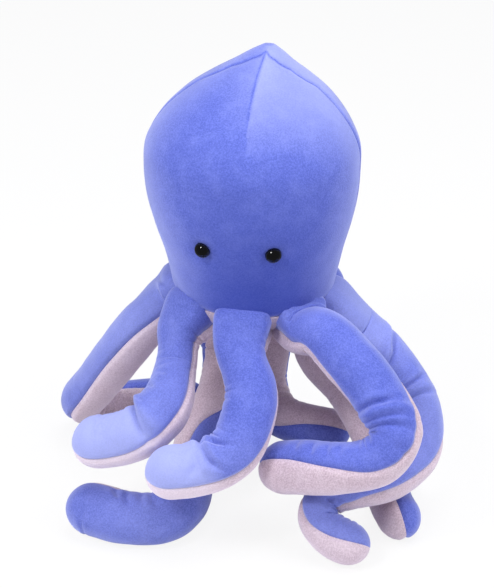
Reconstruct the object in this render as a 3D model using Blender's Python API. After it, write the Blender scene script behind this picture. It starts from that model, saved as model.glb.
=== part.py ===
"""Plush octopus: a stuffed egg-shaped mantle on a round base, with eight stuffed arms that
hang from the rim, curl and cross, and lie partly on the floor. Each arm is a blue upper
panel and a pale underside panel round a filling, and it swings at its root seam."""

import math

import bpy
import bmesh
import numpy as np
from mathutils import Matrix, Vector

# Driving sizes, in metres. The face looks along -Y and the floor is at zero.
RIM_HEIGHT = 0.150  # where the mantle is sewn to the arms
RIM_RADIUS = 0.055
MANTLE_HEIGHT = 0.166  # from the rim to the peak
MANTLE_WIDTH = 0.148
PEAK_SETBACK = 0.021  # the peak lies behind the middle of the rim
PEAK_SIDESTEP = 0.007  # and a little to its right
PEAK_SLACK = 0.0012  # between cloth and filling where the seams run together
CLOTH = 0.002  # velour with its backing
CLEARANCE = 0.0003  # between pieces that touch
ARM_THICKNESS = 0.036
ROOT_THICKNESS = 0.018  # an arm is narrow and flat where it is sewn on
ROOT_TAPER = 0.050  # the length over which it swells to its full thickness
HINGE_INSET = 0.012  # from the rim in to the middle of the root seam
HINGE_DROP = 0.012  # from the rim down to the middle of the root seam
FIRST_REACH = 0.019  # each arm leaves its root straight for this length
FLOOR_EASE = 0.020  # over which a falling arm eases into lying on the floor
FLOOR_FLAT = 0.0005  # how deep an arm is pressed flat where it lies on the floor
BASE_DEPTH = 0.027  # how far the base hangs below the rim
BASE_TUCK = 0.005  # how far the base reaches up inside the mantle
EYE_DIAMETER = 0.011
EYE_BULGE = 0.005
EYE_SHANK_DIAMETER = 0.004
EYE_SHANK_LENGTH = 0.008
WASHER_DIAMETER = 0.013
WASHER_THICKNESS = 0.0015
WASHER_STANDOFF = 0.0004  # the curved cloth holds its middle off this far
RIM_TO_RIGHT = 0.0038  # of the middle of the space that the toy takes up
RIM_TO_BACK = 0.0291
FLOOR_REACH = 0.500  # across the slab that presses the arms flat
CUT_OVERRUN = 0.004  # how far a cutter passes through what it cuts

# Eight roots stand side by side round the rim, and each takes this share of its room there
ROOT_WIDTH_SHARE = 0.84
ROOT_WIDTH = ROOT_WIDTH_SHARE * 2 * (RIM_RADIUS - HINGE_INSET) * math.tan(math.pi / 8)

# Counts
ARM_SIDES = 10
ARM_RINGS = 20
MANTLE_SIDES = 24
BASE_SIDES = 48
EYE_SIDES = 20
CURVE_STEPS = 40
ARM_FINE_STEPS = 300

# An edge between faces at more than this angle in degrees is shaded sharp
SHARP_ANGLE = 50.0

# The eyes, either side of the middle, in degrees and as a share of the mantle's height
EYE_TURN = 20.3
EYE_HEIGHT_SHARE = 0.320

# The mantle's half width against its height, as shares of the rim's radius and of half the
# mantle's width, then how much of its setback and of its sidestep it has there
MANTLE_PROFILE_SHARES = [
    (0.00, 1.00, 0.00, 0.00, 0.00),
    (0.06, 0.92, 0.08, 0.00, 0.00),
    (0.17, 0.70, 0.30, 0.00, 0.00),
    (0.30, 0.38, 0.62, 0.00, -0.08),
    (0.43, 0.12, 0.87, 0.00, -0.15),
    (0.54, 0.00, 0.975, 0.02, -0.17),
    (0.63, 0.00, 0.96, 0.05, -0.17),
    (0.72, 0.00, 0.865, 0.12, -0.10),
    (0.80, 0.00, 0.71, 0.25, 0.05),
    (0.87, 0.00, 0.505, 0.42, 0.25),
    (0.93, 0.00, 0.29, 0.63, 0.52),
    (0.97, 0.00, 0.15, 0.82, 0.78),
    (1.00, 0.00, 0.024, 1.00, 1.00),
]
# The side seams run in to the front junction near the top: their turn against the height
SIDE_SEAM_TURN = 90.0
SIDE_SEAM_SHARES = [(0.0, 1.0), (0.86, 1.0), (0.93, 0.78), (0.965, 0.42), (0.985, 0.03), (1.0, 0.0)]
FRONT_PANEL_SHARES = [0.0, 0.06, 0.17, 0.30, 0.43, 0.54, 0.63, 0.72, 0.80, 0.87, 0.93, 0.965, 0.985]
BACK_PANEL_SHARES = FRONT_PANEL_SHARES + [1.0]
FILLING_SHARES = [BASE_TUCK / MANTLE_HEIGHT] + FRONT_PANEL_SHARES[1:-2]

# The base's half width against its depth below its top
BASE_PROFILE_SHARES = [
    (0.00, 1.00),
    (0.14, 1.00),
    (0.30, 0.98),
    (0.48, 0.90),
    (0.66, 0.74),
    (0.82, 0.52),
    (0.94, 0.26),
    (1.00, 0.08),
]

# The rounded end of an arm: places back from the tip, as shares of half its thickness
TIP_SHARES = [1.0, 0.62, 0.32, 0.12, 0.02]
ROOT_END_SHARES = [0.03, 0.3, 1.0]
SOCKET_END_SHARES = [0.0, 0.12, 0.32, 0.62, 1.0]
SOCKET_REACH_SHARES = [0.2, 0.4, 0.6, 0.8, 1.0, 1.2]
SWING_SHARES = [0.0, 0.5, 1.0]
EYE_DOME_SHARES = [0.15, 0.35, 0.55, 0.75, 0.92]
BEND_WEIGHT_SHARE = 1.0  # rings crowd where the arm bends
TWIST_WEIGHT_SHARE = 1.0  # and where it twists
PINCH_SHARE = 0.65  # the inner side of a bend keeps within this share of its radius

# Each arm: its turn about the middle, how steeply it leaves the rim and how far it swings
# out, in degrees, then its route. A point of the route is its turn in degrees, how far out
# and how high in arm thicknesses, how far the blue side is rolled in degrees, and its
# fullness. A height of under a half lies on the floor.
ARM_ROUTE_SHARES = {
    "left": (-90, 34, 25, [
        (-82, 2.05, 3.28, -12, 0.9),
        (-84, 2.60, 2.52, -22, 0.84),
        (-92, 3.21, 1.50, -20, 0.8),
        (-100, 3.67, 0.79, -6, 0.78),
        (-108, 3.60, 0.45, 6, 0.8),
        (-118, 3.17, 0.42, 8, 0.8),
        (-126, 2.56, 0.50, 8, 0.82),
        (-134, 1.66, 0.68, 8, 0.85),
    ]),
    "front_left": (-45, 32, 25, [
        (-37, 2.00, 3.10, 0, 0.92),
        (-28, 2.72, 2.72, -4, 1.0),
        (-32, 3.16, 2.30, -8, 1.0),
        (-42, 3.52, 1.96, -10, 1.0),
        (-50, 3.92, 1.86, -10, 1.0),
    ]),
    "front": (0, 26, 22, [
        (8, 2.30, 3.06, -3, 1.0),
        (6, 2.66, 2.62, -10, 1.0),
        (1, 3.05, 2.19, -28, 1.0),
        (-10, 3.38, 1.97, -40, 1.0),
        (-23, 3.74, 1.87, -42, 1.0),
    ]),
    "front_right": (45, 10, 8, [
        (46, 1.96, 3.99, -14, 0.95),
        (48, 2.64, 3.71, -26, 1.0),
        (49, 3.49, 3.22, -44, 1.0),
        (48, 4.06, 2.71, -74, 0.96),
        (43, 4.01, 2.24, -112, 0.94),
        (35, 3.53, 1.99, -146, 0.96),
        (26, 2.90, 1.76, -162, 1.0),
        (12, 2.45, 1.53, -166, 1.0),
    ]),
    "right": (90, 30, 6, [
        (93, 1.94, 3.24, 0, 1.0),
        (89, 2.62, 2.61, 0, 1.0),
        (80, 3.28, 1.91, -28, 0.95),
        (70, 3.54, 1.44, -74, 0.84),
        (56, 3.44, 1.21, -88, 0.8),
        (44, 3.18, 1.20, -72, 0.76),
        (35, 3.00, 1.04, -44, 0.74),
        (31, 3.18, 0.72, -4, 0.76),
        (35, 3.60, 0.46, 20, 0.82),
        (41, 4.02, 0.41, 30, 0.86),
    ]),
    "back_right": (135, 50, 15, [
        (139, 1.64, 2.02, 0, 0.9),
        (116, 1.94, 1.42, 0, 0.85),
        (93, 2.28, 0.99, -4, 0.8),
        (85, 2.56, 0.38, -8, 0.77),
        (64, 3.17, 0.38, -14, 0.82),
        (54, 4.00, 0.38, -18, 0.84),
    ]),
    "back": (180, 50, 25, [
        (-180, 1.74, 1.81, -4, 0.95),
        (-179, 1.80, 0.87, 0, 0.88),
        (166, 1.36, 0.42, 35, 0.86),
        (136, 1.45, 0.40, 78, 0.86),
        (116, 2.01, 0.40, 90, 0.86),
    ]),
    "back_left": (-135, 55, 10, [
        (-144, 1.24, 2.15, 0, 0.95),
        (-119, 0.81, 1.48, -50, 0.9),
        (-72, 1.07, 0.91, -120, 0.9),
        (-42, 1.59, 0.38, -150, 0.94),
        (-25, 2.45, 0.40, -158, 1.0),
        (-26, 3.07, 0.40, -158, 1.0),
        (-35, 3.49, 0.40, -155, 1.0),
        (-45, 3.79, 0.40, -155, 1.0),
        (-50, 4.13, 0.40, -155, 1.0),
    ]),
}

BLUE = (0.115, 0.160, 0.700, 1.0)
PALE = (0.700, 0.620, 0.700, 1.0)
WHITE = (0.850, 0.850, 0.830, 1.0)
BLACK = (0.008, 0.008, 0.010, 1.0)


def clear_scene():
    for old in list(bpy.data.objects):
        bpy.data.objects.remove(old, do_unlink=True)


def material(name, colour, roughness):
    made = bpy.data.materials.new(name)
    made.use_nodes = True
    shader = made.node_tree.nodes["Principled BSDF"]
    shader.inputs["Base Color"].default_value = colour
    shader.inputs["Roughness"].default_value = roughness
    shader.inputs["Metallic"].default_value = 0.0
    made.diffuse_color = colour
    return made


def add_rim_middle():
    """The empty that carries every piece: all are placed from the point under the rim's middle."""
    middle = bpy.data.objects.new("rim_middle", None)
    middle.location = (RIM_TO_RIGHT, RIM_TO_BACK, 0.0)
    bpy.context.collection.objects.link(middle)


def mesh_object(name, bm, origin=(0.0, 0.0, 0.0)):
    """The closed mesh as an object that faces out, with its origin at this point."""
    bmesh.ops.recalc_face_normals(bm, faces=bm.faces)
    bmesh.ops.translate(bm, verts=bm.verts, vec=-Vector(origin))
    mesh = bpy.data.meshes.new(name)
    bm.to_mesh(mesh)
    bm.free()
    made = bpy.data.objects.new(name, mesh)
    made.location = origin
    made.parent = bpy.data.objects["rim_middle"]
    bpy.context.collection.objects.link(made)
    return made


def add_piece(name, bm, finish, origin=(0.0, 0.0, 0.0)):
    """A piece of the toy, shaded smooth but for its sharp edges."""
    made = mesh_object(name, bm, origin)
    made.data.shade_smooth()
    made.data.set_sharp_from_angle(angle=math.radians(SHARP_ANGLE))
    made.data.materials.append(finish)
    return made


def add_quad(bm, a, b, c, d):
    """Two triangles that meet on the line from a to c, so that nested skins fold alike."""
    bm.faces.new((a, b, c))
    bm.faces.new((a, c, d))


def bridge(bm, rows):
    """Sides between rings of vertices, and a flat cap at each end."""
    for lower, upper in zip(rows, rows[1:]):
        for i in range(len(lower)):
            j = (i + 1) % len(lower)
            add_quad(bm, lower[i], lower[j], upper[j], upper[i])
    bm.faces.new(rows[0])
    bm.faces.new(rows[-1])


def lofted(rings):
    """A closed body through rings of equally many points."""
    bm = bmesh.new()
    bridge(bm, [[bm.verts.new(point) for point in ring] for ring in rings])
    return bm


def shell(outer, inner):
    """A closed sheet between two grids of equally many rows and columns of points."""
    bm = bmesh.new()
    out = [[bm.verts.new(point) for point in row] for row in outer]
    back = [[bm.verts.new(point) for point in row] for row in inner]
    rows, columns = len(out), len(out[0])
    for i in range(rows - 1):
        for j in range(columns - 1):
            add_quad(bm, out[i][j], out[i][j + 1], out[i + 1][j + 1], out[i + 1][j])
            add_quad(bm, back[i][j], back[i + 1][j], back[i + 1][j + 1], back[i][j + 1])
    for j in range(columns - 1):
        add_quad(bm, out[0][j], back[0][j], back[0][j + 1], out[0][j + 1])
        add_quad(bm, out[-1][j], out[-1][j + 1], back[-1][j + 1], back[-1][j])
    for i in range(rows - 1):
        add_quad(bm, out[i][0], out[i + 1][0], back[i + 1][0], back[i][0])
        add_quad(bm, out[i][-1], back[i][-1], back[i + 1][-1], out[i + 1][-1])
    return bm


def cutter(name, bm):
    """A hidden body that a Boolean takes away."""
    made = mesh_object(name, bm)
    made.hide_render = True
    made.display_type = "WIRE"
    return made


def take_away(target, tool):
    modifier = target.modifiers.new("cut by " + tool.name, "BOOLEAN")
    modifier.operation = "DIFFERENCE"
    modifier.solver = "EXACT"
    modifier.object = tool


def make_floor_cutter():
    """The slab below the floor, which presses the arms flat where they lie on it."""
    reach = FLOOR_REACH
    bm = bmesh.new()
    bmesh.ops.create_cube(bm, size=1.0)
    bmesh.ops.scale(bm, verts=bm.verts, vec=(reach, reach, ARM_THICKNESS))
    bmesh.ops.translate(bm, verts=bm.verts, vec=(0.0, 0.0, -ARM_THICKNESS / 2))
    return cutter("floor_cutter", bm)


def smoothstep(share):
    share = min(1.0, max(0.0, share))
    return share * share * (3 - 2 * share)


def outward(turn):
    """The level direction at this turn in degrees from the front."""
    return np.array([math.sin(math.radians(turn)), -math.cos(math.radians(turn)), 0.0])


def smooth_curve(points, steps):
    """A centripetal Catmull-Rom curve through the points, their other columns included."""
    points = np.asarray(points, float)
    ends = [2 * points[0] - points[1], *points, 2 * points[-1] - points[-2]]
    curve = []
    for p0, p1, p2, p3 in zip(ends, ends[1:], ends[2:], ends[3:]):
        knots = [0.0]
        for a, b in ((p0, p1), (p1, p2), (p2, p3)):
            knots.append(knots[-1] + math.sqrt(np.linalg.norm((b - a)[:3])))
        t0, t1, t2, t3 = knots
        for t in np.linspace(t1, t2, steps, endpoint=False):
            a1 = p0 + (p1 - p0) * (t - t0) / (t1 - t0)
            a2 = p1 + (p2 - p1) * (t - t1) / (t2 - t1)
            a3 = p2 + (p3 - p2) * (t - t2) / (t3 - t2)
            b1 = a1 + (a2 - a1) * (t - t0) / (t2 - t0)
            b2 = a2 + (a3 - a2) * (t - t1) / (t3 - t1)
            curve.append(b1 + (b2 - b1) * (t - t1) / (t2 - t1))
    curve.append(points[-1])
    return np.array(curve)


# The mantle


def mantle_curve():
    """The mantle's height, half width, setback and sidestep, smoothed."""
    rows = [
        (
            height * MANTLE_HEIGHT,
            rim * RIM_RADIUS + belly * MANTLE_WIDTH / 2,
            setback * PEAK_SETBACK,
            sidestep * PEAK_SIDESTEP,
        )
        for height, rim, belly, setback, sidestep in MANTLE_PROFILE_SHARES
    ]
    return smooth_curve(rows, CURVE_STEPS)


MANTLE_CURVE = mantle_curve()


def mantle_skin(height_share, turn):
    """A point on the outside of the mantle."""
    height = height_share * MANTLE_HEIGHT
    heights = MANTLE_CURVE[:, 0]
    width, setback, sidestep = (np.interp(height, heights, MANTLE_CURVE[:, k]) for k in (1, 2, 3))
    return np.array([sidestep, setback, RIM_HEIGHT + height]) + outward(turn) * width


def mantle_point(height_share, turn, inset=0.0):
    """A point this far in from the outside of the mantle, square to its skin."""
    step_share = 0.004
    step_turn = 1.0
    low = max(0.0, height_share - step_share)
    high = min(1.0, height_share + step_share)
    rise = mantle_skin(high, turn) - mantle_skin(low, turn)
    round_way = mantle_skin(height_share, turn + step_turn) - mantle_skin(height_share, turn - step_turn)
    normal = np.cross(round_way, rise)
    normal /= np.linalg.norm(normal)
    return mantle_skin(height_share, turn) - normal * inset


def facet_point(height_share, turn, inset=0.0):
    """A point on the flat facet of the front panel there, this far in."""
    step = 360 / MANTLE_SIDES
    start = math.floor(turn / step) * step
    low = max(share for share in FRONT_PANEL_SHARES if share <= height_share)
    high = min(share for share in FRONT_PANEL_SHARES if share > height_share)
    across = (turn - start) / step
    rise = (height_share - low) / (high - low)
    lower, upper = (
        mantle_point(share, start, inset) * (1 - across) + mantle_point(share, start + step, inset) * across
        for share in (low, high)
    )
    return lower * (1 - rise) + upper * rise


def side_seam(height_share):
    """The turn of the side seams at this height, in degrees."""
    heights, turns = zip(*SIDE_SEAM_SHARES)
    return SIDE_SEAM_TURN * np.interp(height_share, heights, turns)


def panel_row(height_share, start, end, columns, inset):
    """Points across a panel, drawn in at both edges by half the clearance."""
    width = np.linalg.norm((mantle_skin(height_share, 0) - mantle_skin(height_share, 180))[:2]) / 2
    margin = math.degrees(CLEARANCE / 2 / width)
    turns = np.linspace(start + margin, end - margin, columns + 1)
    return [mantle_point(height_share, turn, inset) for turn in turns]


def mantle_panel(name, height_shares, edges, columns, finish):
    """A cloth panel of the mantle between two seams."""
    outer = [panel_row(h, *edges(h), columns, 0.0) for h in height_shares]
    inner = [panel_row(h, *edges(h), columns, CLOTH) for h in height_shares]
    return add_piece(name, shell(outer, inner), finish)


def make_mantle(blue, white):
    front = mantle_panel(
        "mantle_front_panel",
        FRONT_PANEL_SHARES,
        lambda h: (-side_seam(h), side_seam(h)),
        MANTLE_SIDES // 2,
        blue,
    )
    mantle_panel(
        "mantle_back_left_panel",
        BACK_PANEL_SHARES,
        lambda h: (-180, -side_seam(h)),
        MANTLE_SIDES // 4,
        blue,
    )
    mantle_panel(
        "mantle_back_right_panel",
        BACK_PANEL_SHARES,
        lambda h: (side_seam(h), 180),
        MANTLE_SIDES // 4,
        blue,
    )
    turns = [360 * i / MANTLE_SIDES for i in range(MANTLE_SIDES)]
    insets = [CLOTH + CLEARANCE] * (len(FILLING_SHARES) - 1) + [CLOTH + PEAK_SLACK]
    rings = [[mantle_point(h, turn, inset) for turn in turns] for h, inset in zip(FILLING_SHARES, insets)]
    filling = add_piece("mantle_filling", lofted(rings), white)
    return front, filling


def make_base(pale, arms):
    """The round base that closes the mantle, with a socket for each arm's root."""
    radius = (RIM_RADIUS - CLOTH) * math.cos(math.pi / MANTLE_SIDES) - CLEARANCE
    top = RIM_HEIGHT + BASE_TUCK - CLEARANCE
    depth = BASE_DEPTH + BASE_TUCK
    rings = []
    for depth_share, width_share in BASE_PROFILE_SHARES:
        middle = np.array([0.0, 0.0, top - depth * depth_share])
        turns = [360 * i / BASE_SIDES for i in range(BASE_SIDES)]
        rings.append([middle + outward(turn) * radius * width_share for turn in turns])
    base = add_piece("base", lofted(rings), pale)
    bm = bmesh.new()
    for arm in arms.values():
        add_socket(bm, arm)
    take_away(base, cutter("socket_cutter", bm))


# The arms


def hinge_point(turn):
    """The middle of an arm's root seam, on its hinge line."""
    return outward(turn) * (RIM_RADIUS - HINGE_INSET) + np.array([0, 0, RIM_HEIGHT - HINGE_DROP])


def leaving_direction(turn, slope):
    down = math.radians(slope)
    return outward(turn) * math.cos(down) - np.array([0, 0, math.sin(down)])


def rounded(place, length):
    """How full a rounded end is at this place from its pole, from 0 to 1."""
    past = max(0.0, 1 - place / length)
    return math.sqrt(1 - min(1.0, past) ** 2)


def half_sizes(place, inset=0.0):
    """An arm's half width and half height this far from the pole of its root end."""
    swell = smoothstep((place - ROOT_THICKNESS / 2 - FIRST_REACH / 3) / ROOT_TAPER)
    width = ROOT_WIDTH / 2 + (ARM_THICKNESS - ROOT_WIDTH) / 2 * swell - inset
    height = ROOT_THICKNESS / 2 + (ARM_THICKNESS - ROOT_THICKNESS) / 2 * swell - inset
    end = rounded(place - inset, ROOT_THICKNESS / 2 - inset)
    return width * end, height * end


def lifted(points, turn, angle):
    """These points of an arm once it has swung this many degrees up from where it hangs."""
    hinge = hinge_point(turn)
    axis = Vector(np.cross(outward(turn), [0, 0, 1]))
    swing = np.array(Matrix.Rotation(math.radians(angle), 3, axis))
    return [hinge + swing @ (point - hinge) for point in points]


def add_socket(bm, arm):
    """The space that an arm's root sweeps, from where it hangs to where it is lifted."""
    room = CLEARANCE + CLEARANCE / 2  # each panel stands half the clearance off the seam line
    angles = [360 * i / ARM_SIDES for i in range(ARM_SIDES)]
    places = [share * ROOT_THICKNESS / 2 for share in SOCKET_END_SHARES]
    places += [ROOT_THICKNESS / 2 + FIRST_REACH * share for share in SOCKET_REACH_SHARES]
    root = [point for place in places for point in arm.ring(place, angles, -room)]
    points = [p for share in SWING_SHARES for p in lifted(root, arm.turn, arm.swing * share)]
    verts = [bm.verts.new(point) for point in points]
    hull = bmesh.ops.convex_hull(bm, input=verts)
    inside = [item for item in hull["geom_interior"] if isinstance(item, bmesh.types.BMVert)]
    bmesh.ops.delete(bm, geom=inside, context="VERTS")


class Arm:
    """An arm's centre line, with its frame, roll and fullness at every fine step."""

    def __init__(self, turn, slope, swing, route):
        self.turn = turn
        self.swing = swing
        direction = leaving_direction(turn, slope)
        hinge = hinge_point(turn)
        rows = [
            [*(hinge - direction * ROOT_THICKNESS / 2), 0.0, 1.0],
            [*hinge, 0.0, 1.0],
            [*(hinge + direction * FIRST_REACH), 0.0, 1.0],
        ]
        for point_turn, out_share, height_share, roll, fullness in route:
            middle = outward(point_turn) * out_share * ARM_THICKNESS
            middle[2] = height_share * ARM_THICKNESS
            rows.append([*middle, roll, fullness])
        curve = smooth_curve(rows, CURVE_STEPS)
        steps = np.linalg.norm(np.diff(curve[:, :3], axis=0), axis=1)
        places = np.concatenate([[0.0], np.cumsum(steps)])
        self.length = places[-1]
        self.places = np.linspace(0.0, self.length, ARM_FINE_STEPS + 1)
        columns = [np.interp(self.places, places, curve[:, k]) for k in range(5)]
        self.points = np.stack(columns[:3], axis=1)
        self.roll = np.radians(columns[3])
        self.fullness = columns[4]
        self.find_frames()
        self.lay_on_floor()
        self.find_frames()

    def lay_on_floor(self):
        """Lifts the centre line where the arm would sink deeper than its pressed flat."""
        floor = np.array([self.drop(step) for step in range(len(self.places))]) - FLOOR_FLAT
        reach = int(FLOOR_EASE / self.length * ARM_FINE_STEPS)
        weights = np.hanning(2 * reach + 3)[1:-1]
        lifted = np.pad(np.maximum(self.points[:, 2], floor), reach, mode="edge")
        eased = np.convolve(lifted, weights / weights.sum(), "valid")
        self.points[:, 2] = np.maximum(eased, floor)

    def drop(self, step):
        """How far the arm reaches below its centre line at this fine step, its tip not rounded."""
        width, height = (size * self.fullness[step] for size in half_sizes(self.places[step]))
        lowest = 0.0
        for i in range(ARM_SIDES):
            angle = 2 * math.pi * i / ARM_SIDES - self.roll[step]
            side = self.across[step][2] * width * math.cos(angle)
            lowest = min(lowest, side + self.up[step][2] * height * math.sin(angle))
        return -lowest

    def half_sizes(self, place, inset=0.0):
        fullness = np.interp(place, self.places, self.fullness)
        width, height = half_sizes(place, inset)
        from_tip = self.length - place
        end = rounded(from_tip - inset, ARM_THICKNESS / 2 - inset)
        return max(width * fullness * end, CLEARANCE), max(height * fullness * end, CLEARANCE)

    def find_frames(self):
        """Directions along, across and up the arm, carried along it without twisting."""
        along = np.gradient(self.points, axis=0)
        self.along = along / np.linalg.norm(along, axis=1)[:, None]
        step = self.length / ARM_FINE_STEPS
        self.bend = np.gradient(self.along, axis=0) / step
        first = np.cross(self.along[0], np.cross([0, 0, 1], self.along[0]))
        up = [first / np.linalg.norm(first)]
        for before, after in zip(self.along, self.along[1:]):
            turned = Vector(before).rotation_difference(Vector(after)) @ Vector(up[-1])
            level = np.array(turned) - after * np.dot(turned, after)
            up.append(level / np.linalg.norm(level))
        self.up = np.array(up)
        self.across = np.cross(self.up, self.along)

    def at(self, place, values):
        return np.array([np.interp(place, self.places, column) for column in values.T])

    def ring(self, place, angles, inset=0.0, shift=0.0):
        """Points round the arm; angle 90 is the middle of its blue side."""
        middle = self.at(place, self.points)
        up = self.at(place, self.up)
        across = self.at(place, self.across)
        bend = self.at(place, self.bend)
        roll = np.interp(place, self.places, self.roll)
        width, height = self.half_sizes(place, inset)
        blue_way = up * math.cos(roll) + across * math.sin(roll)
        ring = []
        for angle in np.radians(angles) - roll:
            reach = across * width * math.cos(angle) + up * height * math.sin(angle)
            inward = np.dot(reach, bend)
            limit = PINCH_SHARE - inset * np.linalg.norm(bend)
            if inward > limit:
                reach = reach * limit / inward
            ring.append(middle + reach + blue_way * shift)
        return ring

    def stations(self, count):
        """Places for the rings, closer together where the arm bends."""
        root = [share * ROOT_THICKNESS / 2 for share in ROOT_END_SHARES]
        tip = [self.length - share * ARM_THICKNESS / 2 for share in TIP_SHARES]
        bending = np.linalg.norm(self.bend, axis=1)
        twisting = np.abs(np.gradient(self.roll, self.places))
        crowding = (bending * BEND_WEIGHT_SHARE + twisting * TWIST_WEIGHT_SHARE) * ARM_THICKNESS
        weight = np.concatenate([[0.0], np.cumsum(1 + crowding[1:])])
        between = count - len(root) - len(tip)
        first, last = np.interp([root[-1], tip[0]], self.places, weight)
        goals = np.linspace(first, last, between + 2)[1:-1]
        return root + list(np.interp(goals, weight, self.places)) + tip


def make_arm(name, arm, finishes, floor):
    hinge = hinge_point(arm.turn)
    blue, pale, white = finishes
    places = arm.stations(ARM_RINGS)
    half = ARM_SIDES // 2
    for panel, finish, first_angle, side in (("top_panel", blue, 0, 1), ("underside_panel", pale, 180, -1)):
        angles = [first_angle + 180 * i / half for i in range(half + 1)]
        shift = side * CLEARANCE / 2
        outer = [arm.ring(place, angles, 0.0, shift) for place in places]
        inner = [arm.ring(place, angles, CLOTH, shift) for place in places]
        made = add_piece(f"arm_{name}_{panel}", shell(outer, inner), finish, hinge)
        if min(point[2] for row in outer for point in row) < 0:
            take_away(made, floor)
    inset = CLOTH + CLEARANCE
    angles = [360 * i / ARM_SIDES for i in range(ARM_SIDES)]
    inside = [place for place in places if arm.half_sizes(place, inset)[1] > CLOTH]
    rings = [arm.ring(place, angles, inset) for place in inside]
    add_piece(f"arm_{name}_filling", lofted(rings), white, hinge)


# The eyes


def make_eye(side, turn, finishes, panel, filling):
    """A safety eye: a domed head, a shank through the cloth and a washer behind it."""
    black, white = finishes
    seat = Vector(facet_point(EYE_HEIGHT_SHARE, turn))
    behind = Vector(facet_point(EYE_HEIGHT_SHARE, turn, CLOTH))
    outwards = (seat - behind).normalized()
    frame = Matrix.Translation(seat) @ outwards.to_track_quat("Z", "Y").to_matrix().to_4x4()
    radius = EYE_DIAMETER / 2
    shank = EYE_SHANK_DIAMETER / 2
    profile = [(shank, -EYE_SHANK_LENGTH), (shank, CLEARANCE), (radius, CLEARANCE)]
    for share in EYE_DOME_SHARES:
        angle = math.radians(90 * share)
        profile.append((radius * math.cos(angle), CLEARANCE + EYE_BULGE * math.sin(angle)))
    add_piece(f"eye_{side}", turned(profile, frame), black)
    washer_outer = WASHER_DIAMETER / 2
    washer_inner = shank + CLEARANCE
    top = -CLOTH - CLEARANCE - WASHER_STANDOFF
    bottom = top - WASHER_THICKNESS
    add_piece(
        f"eye_washer_{side}",
        turned_ring(washer_inner, washer_outer, bottom, top, frame),
        white,
    )
    hole = [(washer_inner, -CLOTH - CUT_OVERRUN), (washer_inner, CUT_OVERRUN)]
    take_away(panel, cutter(f"eye_hole_{side}", turned(hole, frame)))
    deepest = min(bottom, -EYE_SHANK_LENGTH) - CLEARANCE
    pocket = [(washer_outer + CLEARANCE, deepest), (washer_outer + CLEARANCE, CUT_OVERRUN)]
    take_away(filling, cutter(f"washer_pocket_{side}", turned(pocket, frame)))


def turned(profile, frame):
    """A closed body turned from a profile of radius and height."""
    rings = []
    for radius, height in profile:
        angles = [2 * math.pi * i / EYE_SIDES for i in range(EYE_SIDES)]
        rings.append([frame @ Vector((radius * math.cos(a), radius * math.sin(a), height)) for a in angles])
    return lofted(rings)


def turned_ring(inner, outer, bottom, top, frame):
    """A flat ring."""
    bm = bmesh.new()
    rows = []
    for radius, height in ((inner, bottom), (outer, bottom), (outer, top), (inner, top)):
        angles = [2 * math.pi * i / EYE_SIDES for i in range(EYE_SIDES)]
        ring = [frame @ Vector((radius * math.cos(a), radius * math.sin(a), height)) for a in angles]
        rows.append([bm.verts.new(point) for point in ring])
    for lower, upper in zip(rows, rows[1:] + rows[:1]):
        for i in range(EYE_SIDES):
            j = (i + 1) % EYE_SIDES
            bm.faces.new((lower[i], lower[j], upper[j], upper[i]))
    return bm


def main():
    clear_scene()
    add_rim_middle()
    blue = material("blue velour", BLUE, 0.85)
    pale = material("pale velour", PALE, 0.85)
    white = material("white filling", WHITE, 0.95)
    black = material("black plastic", BLACK, 0.08)
    front, filling = make_mantle(blue, white)
    arms = {name: Arm(*row) for name, row in ARM_ROUTE_SHARES.items()}
    make_base(pale, arms)
    floor = make_floor_cutter()
    for name, arm in arms.items():
        make_arm(name, arm, (blue, pale, white), floor)
    for side, turn in (("left", -EYE_TURN), ("right", EYE_TURN)):
        make_eye(side, turn, (black, white), front, filling)


main()
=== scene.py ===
"""Plush octopus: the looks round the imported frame. Short-pile velour in blue and pale lilac,
sewn in panels, stuffed, with glossy safety eyes."""

import math

import bmesh
import bpy
import numpy as np
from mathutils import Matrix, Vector, kdtree, noise


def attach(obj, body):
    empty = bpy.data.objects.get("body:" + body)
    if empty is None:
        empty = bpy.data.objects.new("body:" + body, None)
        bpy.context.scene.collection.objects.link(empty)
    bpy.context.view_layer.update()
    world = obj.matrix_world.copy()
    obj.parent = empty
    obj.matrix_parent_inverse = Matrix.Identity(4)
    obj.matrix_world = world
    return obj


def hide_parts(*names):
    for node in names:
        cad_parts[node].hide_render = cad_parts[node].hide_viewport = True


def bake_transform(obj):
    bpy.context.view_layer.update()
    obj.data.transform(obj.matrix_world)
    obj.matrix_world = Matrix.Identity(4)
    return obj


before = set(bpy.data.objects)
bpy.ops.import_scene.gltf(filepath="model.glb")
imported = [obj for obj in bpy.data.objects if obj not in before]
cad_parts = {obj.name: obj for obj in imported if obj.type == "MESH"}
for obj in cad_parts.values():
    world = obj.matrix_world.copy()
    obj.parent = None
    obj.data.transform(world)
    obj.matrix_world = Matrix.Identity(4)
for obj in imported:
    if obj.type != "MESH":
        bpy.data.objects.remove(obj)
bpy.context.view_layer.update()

# Sizes shared with the solids, in metres
RIM_HEIGHT = 0.150
RIM_RADIUS = 0.055
MANTLE_HEIGHT = 0.166
MANTLE_WIDTH = 0.148
PEAK_SETBACK = 0.021
PEAK_SIDESTEP = 0.007
ARM_THICKNESS = 0.036
ROOT_THICKNESS = 0.018
ROOT_TAPER = 0.050
HINGE_INSET = 0.012
HINGE_DROP = 0.012
FIRST_REACH = 0.019
FLOOR_EASE = 0.020
BASE_DEPTH = 0.027
FLOOR_FLAT = 0.0005
EYE_DIAMETER = 0.011
EYE_BULGE = 0.005
RIM_MIDDLE = np.array([0.0038, 0.0291, 0.0])
EYE_TURN = 20.3
EYE_HEIGHT_SHARE = 0.320

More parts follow.
